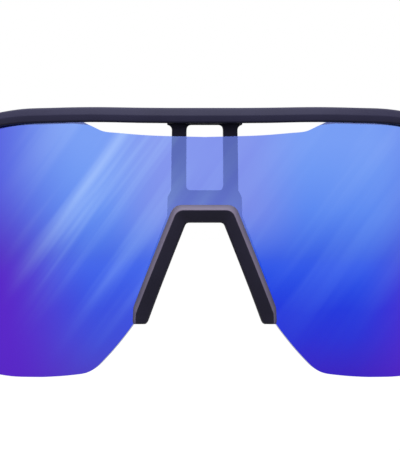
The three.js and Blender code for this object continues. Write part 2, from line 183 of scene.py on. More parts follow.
# The outline is drawn flat from a circle of as many points, then drawn out in equal steps.
# place(u, v, t) puts each point of each step where it belongs.
def sweep(name, outline, steps, place):
    bpy.ops.object.select_all(action="DESELECT")
    bpy.ops.mesh.primitive_circle_add(vertices=len(outline), radius=1, fill_type="NGON")
    obj = added(name)
    for vertex, (u, v) in zip(obj.data.vertices, outline):
        vertex.co = (u, v, 0)

    def work():
        for _ in range(steps):
            bpy.ops.mesh.extrude_region_move(TRANSFORM_OT_translate={"value": (0, 0, 1)})
    inEditMode(obj, work)
    moveVertices(obj, lambda u, v, step: place(u, v, step / steps))
    cleanUp(obj)
    return obj


def addBox(name, x, y, z):
    bpy.ops.object.select_all(action="DESELECT")
    size = Vector((x[1] - x[0], y[1] - y[0], z[1] - z[0]))
    middle = Vector((sum(x), sum(y), sum(z))) / 2
    bpy.ops.mesh.primitive_cube_add(size=1, location=middle, scale=size)
    obj = added(name)
    bpy.ops.object.transform_apply(location=True, rotation=True, scale=True)
    return obj


def addPost(name, radius, z, sides=48):
    bpy.ops.object.select_all(action="DESELECT")
    bpy.ops.mesh.primitive_cylinder_add(vertices=sides, radius=radius, depth=z[1] - z[0],
                                        location=(0, 0, sum(z) / 2))
    obj = added(name)
    bpy.ops.object.transform_apply(location=True, rotation=True, scale=True)
    return obj


face = {
    "wrapRadius": 80,
    "wrapAngle": math.radians(56),
    "cornerRadius": 14,
    "browRadius": 160,
    "middleHeight": 27,
    "hingeBack": 45.3,  # how far the hinge is behind the front
    "upright": (58, 86),  # the end pieces turn upright between these
}
hingeHeight = hingeAt.z / millimetre
faceBack = hingeAt.y / millimetre - face["hingeBack"]


# The point s round the bend from the middle, at height z, depth behind the lens's front face.
def onFace(s, z, depth):
    radius, corner = face["wrapRadius"], face["cornerRadius"]
    run = abs(s)
    arcLength = radius * face["wrapAngle"]
    left = math.pi / 2 - face["wrapAngle"]
    heading = min(run / radius, face["wrapAngle"])
    turned = heading + min(max(run - arcLength, 0) / corner, left)
    x = radius * math.sin(heading) + corner * (math.sin(turned) - math.sin(heading))
    y = radius * (1 - math.cos(heading)) + corner * (math.cos(heading) - math.cos(turned))
    y += max(run - arcLength - corner * left, 0)
    height = lerp(z, hingeHeight, smoothstep(run, *face["upright"]))
    inward = depth + (height - face["middleHeight"]) ** 2 / (2 * face["browRadius"])
    x -= inward * math.sin(turned)
    y += inward * math.cos(turned)
    return Vector((math.copysign(x, s), y + faceBack, z)) * millimetre


def pinThrough(name, s, z, radius, depths, sides):
    base, tip = onFace(s, z, depths[0]), onFace(s, z, depths[1])
    pin = addPost(name, radius * millimetre, (0, (tip - base).length), sides)
    turn = (tip - base).to_track_quat("Z", "Y")
    moveVertices(pin, lambda x, y, z: turn @ Vector((x, y, z)) + base)
    return pin


bar = {
    "front": -1.3,
    "depth": 5.5,
    "end": 94,
    "stations": 230,
    "crowding": 0.92,  # the steps crowd a little towards the ends
    "topLand": 8,  # half the level land in the middle of the top
    "nominalHeight": 3.3,
    "edgeRadius": 0.16,
    "top": profile((0, 58.98), (14, 59.1), (26, 59.27), (36, 59.15), (45, 58.85), (55, 57.4),
                   (65, 55.3), (76, 52.7), (88.7, 50.0), (96, 48.45)),
    "bottom": profile((0, 55.65), (14, 55.75), (26, 55.97), (36, 55.85), (45, 55.55), (52, 54.6),
                      (60, 52.7), (68, 49.6), (76, 46.0), (82, 43.2), (88.7, 40.8), (96, 39.25)),
    "thinning": profile((0, 1), (58, 1), (86, 0.67), (96, 0.67)),
}
# depth, and share of the height
bar["section"] = [
    (-0.95, 0), (bar["front"], 0.1), (bar["front"], 0.5), (-0.55, 0.92), (0, 1), (3.6, 1),
    (bar["front"] + bar["depth"], 0.86), (bar["front"] + bar["depth"], 0.12), (3.7, 0),
]

notch = {
    "top": 36.8,
    "halfWidth": 6.08,
    "slope": 0.399,
    "bridgeShare": 0.2,  # the share of half the edge that runs level across the bridge
    "shoulderShare": 0.35,  # and the share to where the shoulder's round ends
    "shoulderRound": (1.6, 0.3),  # how far that round reaches, and how much more for each millimetre out
    "footHeight": 11.7,
    "footTop": 16,  # where the legs turn down into the feet
    "footOuter": 15.7,
    "footLean": 0.07,
    "footGrowth": 0.7,
    "padLip": 1.05,
}


# The nose notch's edge, moved w outward: from the middle of the bridge, t = 0, to the foot, t = 1.
def noseLine(w, t):
    slope = notch["slope"]
    lean = math.hypot(1, slope)
    top = notch["top"] + w
    cornerX = notch["halfWidth"] + w * (lean - slope)
    rounding = notch["shoulderRound"][0] + notch["shoulderRound"][1] * w
    bridge, shoulder = notch["bridgeShare"], notch["shoulderShare"]
    start = Vector((cornerX - rounding, top))
    end = Vector((cornerX + rounding * slope / lean, top - rounding / lean))
    if t <= bridge:
        return Vector((start.x * t / bridge, top))
    if t <= shoulder:
        share = (t - bridge) / (shoulder - bridge)
        corner = Vector((cornerX, top))
        return start * (1 - share) ** 2 + corner * 2 * share * (1 - share) + end * share**2
    z = lerp(end.y, notch["footHeight"], (t - shoulder) / (1 - shoulder))
    legX = cornerX + slope * (top - z)
    footX = notch["footOuter"] + notch["footGrowth"] * (w - notch["padLip"])
    footX += notch["footLean"] * (notch["footTop"] - z)
    return Vector((min(legX, footX), z))


# Every corner of a closed outline is rounded off, within its share of each edge.
def rounded(outline, radius, points=3, edgeShare=0.45):
    result = []
    for i in range(len(outline)):
        corner = Vector(outline[i])
        before = Vector(outline[i - 1]) - corner
        after = Vector(outline[(i + 1) % len(outline)]) - corner
        start = corner + before.normalized() * min(radius, before.length * edgeShare)
        end = corner + after.normalized() * min(radius, after.length * edgeShare)
        for n in range(points + 1):
            t = n / points
            result.append(tuple(start * (1 - t) ** 2 + corner * 2 * t * (1 - t) + end * t**2))
    return result


def rectangle(x, y):
    return [(x[0], y[0]), (x[1], y[0]), (x[1], y[1]), (x[0], y[1])]


lens = {
    "thickness": 1.8,
    "columns": 130,  # in each half
    "rows": 44,
    "edgeRadius": 0.12,
    "intoBar": 1.3,  # how far it goes up into the bar's groove
    "tab": 2.7,  # and how much further at its screwed ends
    "tabStart": (63, 66.5),
    "fullStart": 31,
    "notchShare": 0.4,
    "notchEnd": 0.97,  # where the lower edge leaves the notch's line
    "bore": (-1, 4),  # a screw hole's depths
    "top": profile((0, 52.66), (12, 53.0), (20, 53.6), (23.2, 53.95), (25.8, 55.0), (28.4, 56.1),
                   (31, 57.2)),
    "rim": smoothLine(
        (15.6, 12.1), (17.5, 9.65), (20.2, 6.55), (23, 3.75), (25.0, 2.05), (27.2, 0.98), (30.5, 0.5),
        (35, 0.15), (40, 0), (47.5, 0.25), (56, 1.8), (63, 5.4), (68.4, 11.6), (71.8, 20), (73.5, 30),
        (74, 39),
    ),
}


def lensLowerEdge(t):
    share = lens["notchShare"]
    if t < share:
        return noseLine(0, t / share * lens["notchEnd"])
    return lens["rim"]((t - share) / (1 - share))


def lensUpperEdge(s):
    if s < lens["fullStart"]:
        return lens["top"](s)
    return bar["bottom"](s) + lens["intoBar"] + lens["tab"] * smoothstep(s, *lens["tabStart"])


# The lens's outline as a bent sheet, grown all round by margin, then given its thickness.
def lensShell(name, margin, columns, rows, surfaces=()):
    bpy.ops.object.select_all(action="DESELECT")
    bpy.ops.mesh.primitive_grid_add(x_subdivisions=2 * columns, y_subdivisions=rows, size=2)
    obj = added(name)
    for surface in surfaces:
        obj.data.materials.append(surface)

    def place(a, c, _):
        low = lensLowerEdge(abs(a))
        s = low.x + margin * max(abs(a) * 8 - 7, 0)  # the ends move out over their last eighth
        top = lensUpperEdge(low.x) + margin
        return onFace(math.copysign(s, a), lerp(low.y - margin, top, (c + 1) / 2), -margin)
    moveVertices(obj, place)
    applyModifier(obj, "SOLIDIFY", thickness=(lens["thickness"] + 2 * margin) * millimetre, offset=-1,
                  use_even_offset=True, material_offset=1, material_offset_rim=1)
    return obj


lensScrew = {
    "s": 69.5,
    "aboveBarBottom": 2.2,
    "radius": 0.5,
    "headRadius": 1.1,
    "headEdge": 0.14,
    "drive": 0.42,
    "shaft": (-0.45, 3.3),  # depths, as are the next three
    "head": (3.05, 3.65),
    "socket": (3.35, 4.2),
    "cutEnds": (5, 7),  # where the bore and the head's recess end, both behind the bar
}
lensScrew["z"] = bar["bottom"](lensScrew["s"]) + lensScrew["aboveBarBottom"]


def screwHole(name, side, radius, depths, sides=40):
    return pinThrough(name, side * lensScrew["s"], lensScrew["z"], radius, depths, sides)


def makeLens(surfaces):
    obj = lensShell("lens", 0, lens["columns"], lens["rows"], surfaces)
    roundEdges(obj, lens["edgeRadius"], angle=50)
    for side in (1, -1):
        combine(obj, screwHole("hole", side, lensScrew["radius"] + clearance, lens["bore"]), "DIFFERENCE")
    smooth(obj, 40)
    return obj


def makeLensScrew(side):
    shaft = screwHole("shaft", side, lensScrew["radius"], lensScrew["shaft"])
    head = screwHole("head", side, lensScrew["headRadius"], lensScrew["head"])
    roundEdges(head, lensScrew["headEdge"], angle=50)
    combine(head, shaft, "UNION")
    socket = screwHole("socket", side, lensScrew["drive"], lensScrew["socket"], 6)
    combine(head, socket, "DIFFERENCE")
    smooth(head)
    return head


yoke = {
    "thickness": 2,
    "strutInner": 4.3,
    "strutOuter": 7.65,
    "windowBottom": 41,
    "windowTop": 55.3,
    "fillet": 1.15,
    "shoulder": (0.8, 1.5),  # out and down from the bottom of a strut to the leg
    "legWidth": 1.75,
    "legStart": 0.38,  # where the legs' outer and inner edges start, along the notch
    "innerStart": 0.18,
    "edgeRadius": 0.22,
    "slice": 2.0,
    "slicesUp": 23,
    "slicesAcross": 7,  # to each side
}


def makeBar():
    nominal = bar["nominalHeight"]
    section = rounded([(depth, share * nominal) for depth, share in bar["section"]], bar["edgeRadius"])

    def place(depth, height, t):
        across = 2 * t - 1
        s = math.copysign(bar["end"] * abs(across) ** bar["crowding"], across)
        run = abs(s)
        thinned = bar["front"] + (depth - bar["front"]) * bar["thinning"](run)
        top = bar["top"](max(run, bar["topLand"]))
        return onFace(s, lerp(bar["bottom"](run), top, height / nominal), thinned)
    return sweep("bar", section, bar["stations"], place)


def yokeOutline():
    outer, top, bottom, r = yoke["strutOuter"], yoke["windowTop"], yoke["windowBottom"], yoke["fillet"]
    half = [(outer + r, top + lens["intoBar"])]
    for n in range(7):
        angle = math.radians(15 * n)
        half.append((outer + r * (1 - math.sin(angle)), top - r * (1 - math.cos(angle))))
    out, down = yoke["shoulder"]
    half += [(outer, bottom), (outer + out, bottom - down)]
    half += [tuple(noseLine(yoke["legWidth"], lerp(yoke["legStart"], 1, n / 18))) for n in range(19)]
    half += [tuple(noseLine(0, lerp(1, yoke["innerStart"], n / 26))) for n in range(27)]
    return half + [(-x, z) for x, z in reversed(half)]


def sliceUp(obj, axis, places):
    normal = [0, 0, 0]
    normal[axis] = 1

    def work():
        bpy.ops.mesh.quads_convert_to_tris(quad_method="BEAUTY", ngon_method="BEAUTY")
        for place in places:
            bpy.ops.mesh.select_all(action="SELECT")
            bpy.ops.mesh.bisect(plane_co=[place * n for n in normal], plane_no=normal)
    inEditMode(obj, work)


# The yoke is a flat upright plate in millimetres at first, and is then bent on to the face.
def makeYoke():
    plate = sweep("yoke", yokeOutline(), 1, lambda x, z, t: Vector((x, t * yoke["thickness"], z)))
    applyModifier(plate, "BEVEL", width=yoke["edgeRadius"], segments=2, limit_method="ANGLE",
                  angle_limit=math.radians(50), use_clamp_overlap=True)
    bottom, inner = yoke["windowBottom"], yoke["strutInner"]
    corners = rounded(rectangle((-inner, inner), (bottom, yoke["windowTop"])), yoke["fillet"], 6)
    window = sweep("window", corners, 1, lambda x, z, t: Vector((x, lerp(-1, yoke["thickness"] + 1, t), z)))
    combine(plate, window, "DIFFERENCE")
    step, across = yoke["slice"], yoke["slicesAcross"]
    sliceUp(plate, 2, [notch["footHeight"] + step * n for n in range(1, yoke["slicesUp"])])
    sliceUp(plate, 0, [step * n for n in range(-across, across + 1)])
    front = lens["thickness"] + clearance
    moveVertices(plate, lambda x, depth, z: onFace(x, z, front + depth))
    cleanUp(plate)
    return plate


def makeBrowFrame():
    obj = makeBar()
    combine(obj, makeYoke(), "UNION")
    combine(obj, lensShell("groove", clearance, 60, 6), "DIFFERENCE")
    for side in (1, -1):
        for cutter in endPieceCutters(side):
            combine(obj, cutter, "DIFFERENCE")
    smooth(obj, 28)
    return obj


temple = {
    "slope": math.radians(12),
    "outer": 4,
    "armLength": 58,
    "sleeveEnd": 123.5,
    "earStart": 74,
    "earRadius": 45,
    "earAngle": math.radians(34),
    "closingStart": 45,
    "closingRadius": 350,
    "height": profile((0, 9.1), (12, 8.3), (32, 6.9), (58, 6)),
    "inner": profile((0, 0.3), (30, 0.45), (58, 0.8)),
}
templeFrame = Matrix.Translation(hingeAt) @ Matrix.Rotation(-temple["slope"], 4, "X")


def templePoint(x, y, z):
    return templeFrame @ (Vector((x, y, z)) * millimetre)


def alongTemple(outward, high, length):
    radius, angle = temple["earRadius"], temple["earAngle"]
    turn = clamp((length - temple["earStart"]) / radius, 0, angle)
    tail = max(length - temple["earStart"] - radius * angle, 0)
    back = min(length, temple["earStart"]) + radius * math.sin(turn) + tail * math.cos(turn)
    up = -radius * (1 - math.cos(turn)) - tail * math.sin(turn)
    closing = max(length - temple["closingStart"], 0) ** 2 / (2 * temple["closingRadius"])
    return templePoint(outward - closing, back + high * math.sin(turn), up + high * math.cos(turn))


def barAlong(name, outline, lengths, steps):
    return sweep(name, outline, steps, lambda u, v, t: alongTemple(u, v, lerp(*lengths, t)))


hinge = {
    "barrel": 1.8,
    "bore": 0.9,
    "screw": 0.6,
    "middle": 1.3,
    "split": 0.25,
    "stack": 3.4,
    "leaf": (0, 0.9),
    "frameLeafEnd": -7,
    "plateEdge": -2.4,  # the frame leaf's plate stops here, clear of the temple's barrel
    "neckStart": -3,
    "templeLeafEnd": 8,
    "boreHalf": 6,
    "recess": (0.35, 0.4, 8),  # room round the barrels, room below them, and how high it reaches
    "shaftPast": (0.1, 0.5),  # how far the screw's shaft goes past the stack, below and above
    "head": (0.25, 0.95),  # above the stack
    "headRadius": 1.25,
    "slotStart": 0.6,  # above the stack
    "slotHalf": 0.18,
    "edgeRadius": 0.1,
}


def hingeRecess():
    around, below, top = hinge["recess"]
    recess = addPost("recess", hinge["barrel"] + around, (-hinge["stack"] - below, top))
    moveVertices(recess, templePoint)
    return recess


def joinAll(pieces):
    first, *others = pieces
    for other in others:
        combine(first, other, "UNION")
    return first


def frameLeaf(grow):
    x0, x1 = hinge["leaf"][0] - grow, hinge["leaf"][1] + grow
    high = hinge["stack"] + grow
    plate = (hinge["frameLeafEnd"] - grow, hinge["plateEdge"] + grow)
    pieces = [addBox("leaf", (x0, x1), plate, (-high, high))]
    for end in (-1, 1):
        span = sorted((end * (hinge["middle"] + hinge["split"] - grow), end * high))
        pieces.append(addBox("neck", (x0, x1), (hinge["neckStart"], 0), span))
        pieces.append(addPost("barrel", hinge["barrel"] + grow, span))
    return joinAll(pieces)


def templeLeaf(grow):
    high = hinge["middle"] + grow
    x0, x1 = hinge["leaf"][0] - grow, hinge["leaf"][1] + grow
    leaf = addBox("leaf", (x0, x1), (0, hinge["templeLeafEnd"] + grow), (-high, high))
    combine(leaf, addPost("barrel", hinge["barrel"] + grow, (-high, high)), "UNION")
    return leaf


# A leaf is bored, set in its place and its edges are broken.
def finishLeaf(leaf):
    half = hinge["boreHalf"]
    combine(leaf, addPost("bore", hinge["bore"], (-half, half), 32), "DIFFERENCE")
    moveVertices(leaf, templePoint)
    cleanUp(leaf)
    roundEdges(leaf, hinge["edgeRadius"], angle=50)
    smooth(leaf)
    return leaf


def makeHingeScrew():
    stack, half = hinge["stack"], hinge["slotHalf"]
    below, above = hinge["shaftPast"]
    head = addPost("head", hinge["headRadius"], [stack + height for height in hinge["head"]])
    combine(head, addPost("shaft", hinge["screw"], (-stack - below, stack + above), 32), "UNION")
    slot = addBox("slot", (-2, 2), (-half, half), (stack + hinge["slotStart"], stack + 2))
    combine(head, slot, "DIFFERENCE")
    moveVertices(head, templePoint)
    cleanUp(head)
    roundEdges(head, hinge["edgeRadius"], angle=50)
    smooth(head)
    return head


# What is cut out of the end piece: all behind the hinge, the round recess, the leaf's pocket and
# the lens screw's bore and recess.
def endPieceCutters(side):
    behind = addBox("behind", (-20, 20), (-0.2, 30), (-20, 20))
    pocket = frameLeaf(clearance)
    for cutter in (behind, pocket):
        moveVertices(cutter, templePoint)
    left = [behind, hingeRecess(), pocket]
    cuts = (("radius", "shaft"), ("headRadius", "head"))
    for (radius, part), end in zip(cuts, lensScrew["cutEnds"]):
        depths = (lensScrew[part][0] - clearance, end)
        left.append(screwHole(part + "Hole", 1, lensScrew[radius] + clearance, depths))
    if side == 1:
        return left
    right = [mirrorCopy(cutter, cutter.name + "Right") for cutter in left]
    for cutter in left:
        bpy.data.objects.remove(cutter)
    return right


arm = {
    "thickness": 3.6,
    "nominalHeight": 9,
    "edgeRadius": 0.5,
    "stations": 90,
    "start": 0.2,  # how far it is behind the hinge's axis
    "tenon": ((1.2, 3.6), (-2.2, 2.2)),
    "tenonEdge": 0.3,
    "tenonRoot": 1,  # how far the tenon starts inside the arm
    "tenonEnd": 68,
}
# share of the thickness from the inner face, and share of the height
arm["section"] = [(0.1, -0.5), (0.9, -0.5), (1, -0.38), (1, 0.02), (0.8, 0.44), (0.66, 0.5), (0.12, 0.5),
                  (0, 0.4), (0, -0.4)]
grip = {
    "lengths": (28, 52),
    "halfHeight": 1.7,
    "outer": 1.15,
    "proud": 0.35,
    "edgeRadius": 0.35,
    "ribs": 12,
    "ribSteps": 10,  # in each rib
    "ribDepth": 0.14,
    "ribReach": 0.4,  # how far in from the face the ribs go
    "endShrink": 0.15,  # how much lower the ends are
    "endPower": 24,  # and how abruptly
}
tipWire = {"outward": 2.4, "radius": 0.45, "lengths": (61, 114)}


def wireBore(lengths, steps):
    radius = tipWire["radius"] + clearance
    ring = [(tipWire["outward"] + radius * math.cos(n * math.pi / 8), radius * math.sin(n * math.pi / 8))
            for n in range(16)]
    return barAlong("wireBore", ring, lengths, steps)


def makeArm():
    wide, high = arm["thickness"], arm["nominalHeight"]
    outline = [(across * wide, share * high) for across, share in arm["section"]]
    section = rounded(outline, arm["edgeRadius"])

    def place(u, v, t):
        length = lerp(arm["start"], temple["armLength"], t)
        outward = lerp(temple["inner"](length), temple["outer"], u / wide)
        return alongTemple(outward, v / high * temple["height"](length), length)
    obj = sweep("arm", section, arm["stations"], place)
    tenon = rounded(rectangle(*arm["tenon"]), arm["tenonEdge"])
    root = temple["armLength"] - arm["tenonRoot"]
    combine(obj, barAlong("tenon", tenon, (root, arm["tenonEnd"]), 8), "UNION")
    leafPocket = templeLeaf(clearance)
    moveVertices(leafPocket, templePoint)
    combine(obj, hingeRecess(), "DIFFERENCE")
    combine(obj, leafPocket, "DIFFERENCE")
    combine(obj, wireBore((tipWire["lengths"][0] - clearance, arm["tenonEnd"] + 1), 4), "DIFFERENCE")
    start, end = grip["lengths"]
    edge = grip["halfHeight"] + clearance
    opening = rectangle((-1, grip["outer"] + clearance), (-edge, edge))
    combine(obj, barAlong("pocket", opening, (start - clearance, end + clearance), 12), "DIFFERENCE")
    smooth(obj, 30)
    return obj


def makeGrip():
    start, end = grip["lengths"]
    high, shrink = grip["halfHeight"], grip["endShrink"]
    inner = temple["inner"]((start + end) / 2) - grip["proud"]
    section = rounded(rectangle((inner, grip["outer"]), (-high, high)), grip["edgeRadius"])

    def place(u, v, t):
        wave = 0.5 - 0.5 * math.cos(2 * math.pi * grip["ribs"] * t)
        inward = u + grip["ribDepth"] * (1 - wave) * (1 if u < inner + grip["ribReach"] else 0)
        ends = math.sqrt(max(1 - abs(2 * t - 1) ** grip["endPower"], 0.0)) * shrink + 1 - shrink
        return alongTemple(inward, v * ends, lerp(start, end, t))
    obj = sweep("grip", section, grip["ribs"] * grip["ribSteps"], place)
    smooth(obj, 60)
    return obj


sleeve = {
    "sides": 36,
    "stations": 260,
    "crowding": 1.15,  # the steps crowd towards the tip
    "squareness": 2.7,
    "roundEnd": 3.4,
    "lip": (0.12, 0.6),  # how much slimmer the mouth is, and over what length
    "ribs": (84, 112),
    "ribFade": 2,
    "ribPitch": 3.1,
    "ribDepth": 0.2,
    "ribSharpness": 4,
    "flank": (0.55, 0.95),  # the ribs are on the sleeve's flat sides
    "height": profile((58, 6.6), (70, 7.1), (88, 8.6), (104, 8.2), (117.5, 6.8), (122, 5.6),
                      (123.5, 5.2)),
    "halfThickness": profile((58, 2.3), (90, 2.5), (113.5, 2.3), (121, 2.0), (123.5, 1.9)),
}


def makeSleeve():
    power = 2 / sleeve["squareness"]
    outline = []
    for n in range(sleeve["sides"]):
        angle = 2 * math.pi * n / sleeve["sides"]
        u, v = math.cos(angle), math.sin(angle)
        outline.append((math.copysign(abs(u) ** power, u), math.copysign(abs(v) ** power, v)))
    start, end = temple["armLength"] + clearance, temple["sleeveEnd"]
    lipShare, lipLength = sleeve["lip"]
    first, last = sleeve["ribs"]

    def place(u, v, t):
        length = lerp(start, end, 1 - (1 - t) ** sleeve["crowding"])
        closing = clamp((length - end + sleeve["roundEnd"]) / sleeve["roundEnd"], 0, 1)
        closing = math.sqrt(max(1 - closing**2, 0))
        lip = 1 - lipShare * (1 - smoothstep(length, start, start + lipLength))
        fade = sleeve["ribFade"]
        ribbed = smoothstep(length, first, first + fade) * (1 - smoothstep(length, last - fade, last))
        wave = 0.5 - 0.5 * math.cos(2 * math.pi * (length - first) / sleeve["ribPitch"])
        flank = smoothstep(abs(u), *sleeve["flank"])
        rib = sleeve["ribDepth"] * ribbed * wave ** sleeve["ribSharpness"] * flank
        thick = sleeve["halfThickness"](length) - rib
        return alongTemple(tipWire["outward"] + u * thick * closing * lip,
                           v / 2 * sleeve["height"](length) * closing * lip, length)
    obj = sweep("sleeve", outline, sleeve["stations"], place)
    grown = [(low - clearance, high + clearance) for low, high in arm["tenon"]]
    mouth = temple["armLength"] - arm["tenonRoot"]
    hollow = barAlong("hollow", rectangle(*grown), (mouth, arm["tenonEnd"] + clearance), 8)
    combine(obj, hollow, "DIFFERENCE")
    combine(obj, wireBore((arm["tenonEnd"] - 1, tipWire["lengths"][1] + clearance), 30), "DIFFERENCE")
    smooth(obj, 50)
    return obj


pad = {
    "stations": 150,
    "edgeRadius": 0.3,
    "inner": -2.75,
    "wingShare": (0.42, 1),
    "wingRise": (0.2, 0.6),
    "footShare": 0.8,
    "footRise": (0.85, 1),
    "lipFade": 0.6,  # how much less of the lip's painted highlight and extra gloss is at its outer edge
    "lipLimits": (-0.2, -0.28),  # the lip is outward of the first and in front of the second
    "crowding": 1.25,  # the steps crowd towards the feet
    "footStart": 0.972,  # from here the foot's corners are rounded
    "footMiddle": -0.9,
    "footTuck": 0.24,
}
grooveBack = lens["thickness"] + yoke["thickness"] + 2 * clearance
# outward from the lens's edge, and depth
pad["lip"] = [(notch["padLip"], -clearance), (0.95, -0.75), (-0.1, -1.45)]
pad["body"] = [
    (-0.35, -1.42), (-2.65, -0.1), (-2.95, 0.5), (-2.7, 2.6), (-1.5, 6), (0.4, 9.2), (1.7, 9.9), (2.6, 9),
    (2.3, 6.8), (1.6, grooveBack), (-clearance, grooveBack), (-clearance, -clearance),
]


def makeNosePad():
    lip = []
    innermost, rearmost = pad["lipLimits"]

    def place(w, depth, t):
        onLip = w > innermost and depth < rearmost
        lip.append(1 - pad["lipFade"] * max(w, 0) / notch["padLip"] if onLip else 0)
        along = 1 - (1 - abs(2 * t - 1)) ** pad["crowding"]
        ending = clamp((along - pad["footStart"]) / (1 - pad["footStart"]), 0, 1)
        w = lerp(w, pad["footMiddle"], pad["footTuck"] * (1 - math.sqrt(1 - ending**2)))
        wing = lerp(*pad["wingShare"], smoothstep(along, *pad["wingRise"]))
        wing *= lerp(1, pad["footShare"], smoothstep(along, *pad["footRise"]))
        back = min(depth, grooveBack) + max(depth - grooveBack, 0) * wing
        flare = lerp(pad["inner"] if w < 0 else 1, w, wing)
        line = noseLine(flare if depth > grooveBack else w, along)
        return onFace(math.copysign(line.x, 0.5 - t), line.y, back)
    section = rounded(pad["lip"] + pad["body"], pad["edgeRadius"])
    obj = sweep("pad", section, pad["stations"], place)
    # the lip's share, which softRubber paints lighter as a painted highlight
    obj.data.attributes.new("lip", "FLOAT", "POINT").data.foreach_set("value", lip)
    channel = frame["nodes"]["nose_pad_wire"].copy()
    channel.data = channel.data.copy()
    channel.parent = None
    bpy.context.collection.objects.link(channel)

    def work():
        bpy.ops.mesh.remove_doubles(threshold=1e-6)
        bpy.ops.transform.shrink_fatten(value=clearance * millimetre)
    inEditMode(channel, work)
    combine(obj, channel, "DIFFERENCE")
    smooth(obj, 45)
    return obj


# A number inside a material. Sums and products on it add their Math nodes.
class Value:
    def __init__(self, surface, socket):
        self.surface = surface
        self.socket = socket

    def math(self, operation, first, second=0.0):
        return self.surface.add("ShaderNodeMath", {"operation": operation}, {0: first, 1: second})

    def __add__(self, other):
        return self.math("ADD", self, other)

    __radd__ = __add__

    def __sub__(self, other):
        return self.math("SUBTRACT", self, other)

    def __rsub__(self, other):
        return self.math("SUBTRACT", other, self)

    def __mul__(self, other):
        return self.math("MULTIPLY", self, other)

    __rmul__ = __mul__

    def __truediv__(self, other):
        return self.math("DIVIDE", self, other)

    def size(self):
        return self.math("ABSOLUTE", self)


class Surface:
    def __init__(self, name):
        self.material = bpy.data.materials.new(name)
        self.material.use_nodes = True
        self.tree = self.material.node_tree
        self.tree.nodes.clear()

    # Any node from its type, its settings, and the values or links of its sockets.
    def add(self, kind, settings, inputs, output=0):
        node = self.tree.nodes.new(kind)
        for key, value in settings.items():
            if key == "stops":
                self.setStops(node.color_ramp, value)
            else:
                setattr(node, key, value)
        for key, value in inputs.items():
            if isinstance(value, Value):
                self.tree.links.new(value.socket, node.inputs[key])
            else:
                node.inputs[key].default_value = value
        return Value(self, node.outputs[output]) if node.outputs else None

    def setStops(self, ramp, stops):
        while len(ramp.elements) < len(stops):
            ramp.elements.new(0.5)
        for element, (position, colour) in zip(ramp.elements, stops):
            element.position = position
            element.color = (*colour, 1)

    def place(self):
        return self.add("ShaderNodeTexCoord", {}, {}, "Object")

    def axes(self):
        split = self.add("ShaderNodeSeparateXYZ", {}, {"Vector": self.place()})
        return [Value(self, socket) for socket in split.socket.node.outputs]

    def noise(self, scale, detail=2.0, stretch=(1, 1, 1)):
        mapped = self.add("ShaderNodeMapping", {}, {"Vector": self.place(), "Scale": stretch})
        return self.add("ShaderNodeTexNoise", {}, {"Vector": mapped, "Scale": scale, "Detail": detail})

    def ramp(self, factor, *stops):
        return self.add("ShaderNodeValToRGB", {"stops": stops}, {"Fac": factor})

    def between(self, factor, start, end):
        return self.add("ShaderNodeMix", {"data_type": "RGBA"}, {0: factor, 6: start, 7: end}, 2)

    def spread(self, factor, low, high, start=0.0, end=1.0):
        limits = {"From Min": low, "From Max": high, "To Min": start, "To Max": end}
        return self.add("ShaderNodeMapRange", {"interpolation_type": "SMOOTHSTEP"},
                        {"Value": factor, **limits})

    def bump(self, height, distance):
        return self.add("ShaderNodeBump", {}, {"Height": height, "Distance": distance, "Strength": 1.0})

    def principled(self, **inputs):
        named = {key.replace("_", " "): value for key, value in inputs.items()}
        return self.add("ShaderNodeBsdfPrincipled", {}, named)

    def finish(self, shader):
        self.add("ShaderNodeOutputMaterial", {}, {"Surface": shader})
        return self.material


nylon = {
    "dark": (0.0165, 0.0155, 0.038, 1),
    "light": (0.0205, 0.0195, 0.046, 1),
    "roughness": 0.46,
    "clouds": 55.0,
    "cloudRange": (0.35, 0.65),
    "grain": 5200.0,
    "grainDepth": 0.000012,
}


def frameNylon():
    surface = Surface("frameNylon")
    clouds = surface.noise(nylon["clouds"], 3.0)
    grain = surface.noise(nylon["grain"], 3.0)
    patches = surface.spread(clouds, *nylon["cloudRange"])
    colour = surface.between(patches, nylon["dark"], nylon["light"])
    rough = nylon["roughness"] + 0.10 * (clouds - 0.5) + 0.08 * (grain - 0.5)
    shader = surface.principled(
        Base_Color=colour, Roughness=rough, Specular_IOR_Level=0.07,
        Normal=surface.bump(grain, nylon["grainDepth"]))
    return surface.finish(shader)


rubber = {
    "dark": (0.0150, 0.0132, 0.030, 1),
    "light": (0.0200, 0.0180, 0.039, 1),
    # the colour of the lip's painted highlight
    "paintedLipHighlight": (0.170, 0.145, 0.215, 1),
    "roughness": 0.55,
    "clouds": 90.0,
    "cloudRange": (0.3, 0.7),
    "lipHighlightRange": (0.2, 0.6, 0.7, 1.0),  # the clouds' range, and how much of the lip's painted highlight there is at each end of it
    "grain": 3800.0,
    "grainDepth": 0.00002,
}


# The nose pad's lip is painted lighter: a painted highlight for the light its rounded outer edge catches.
def softRubber():
    surface = Surface("softRubber")
    clouds = surface.noise(rubber["clouds"], 3.0)
    grain = surface.noise(rubber["grain"], 4.0)
    lip = surface.add("ShaderNodeAttribute", {"attribute_name": "lip"}, {}, "Fac")
    patches = surface.spread(clouds, *rubber["cloudRange"])
    colour = surface.between(patches, rubber["dark"], rubber["light"])
    # The lip is painted lighter here, a painted highlight, in cloudy patches.
    lipHighlight = lip * surface.spread(clouds, *rubber["lipHighlightRange"])
    colour = surface.between(lipHighlight, colour, rubber["paintedLipHighlight"])
    rough = rubber["roughness"] + 0.12 * (grain - 0.5) - 0.1 * lip
    shader = surface.principled(
        Base_Color=colour, Roughness=rough, Specular_IOR_Level=0.12, Sheen_Weight=0.05, Sheen_Roughness=0.4,
        Normal=surface.bump(grain, rubber["grainDepth"]))
    return surface.finish(shader)


steel = {
    "dark": (0.42, 0.42, 0.44, 1),
    "light": (0.62, 0.62, 0.63, 1),
    "brushing": 1500.0,
    "brushStretch": (1, 1, 6),
    "brushDepth": 0.000006,
    "roughness": (0.26, 0.18),  # the least, and what the brushing adds
}


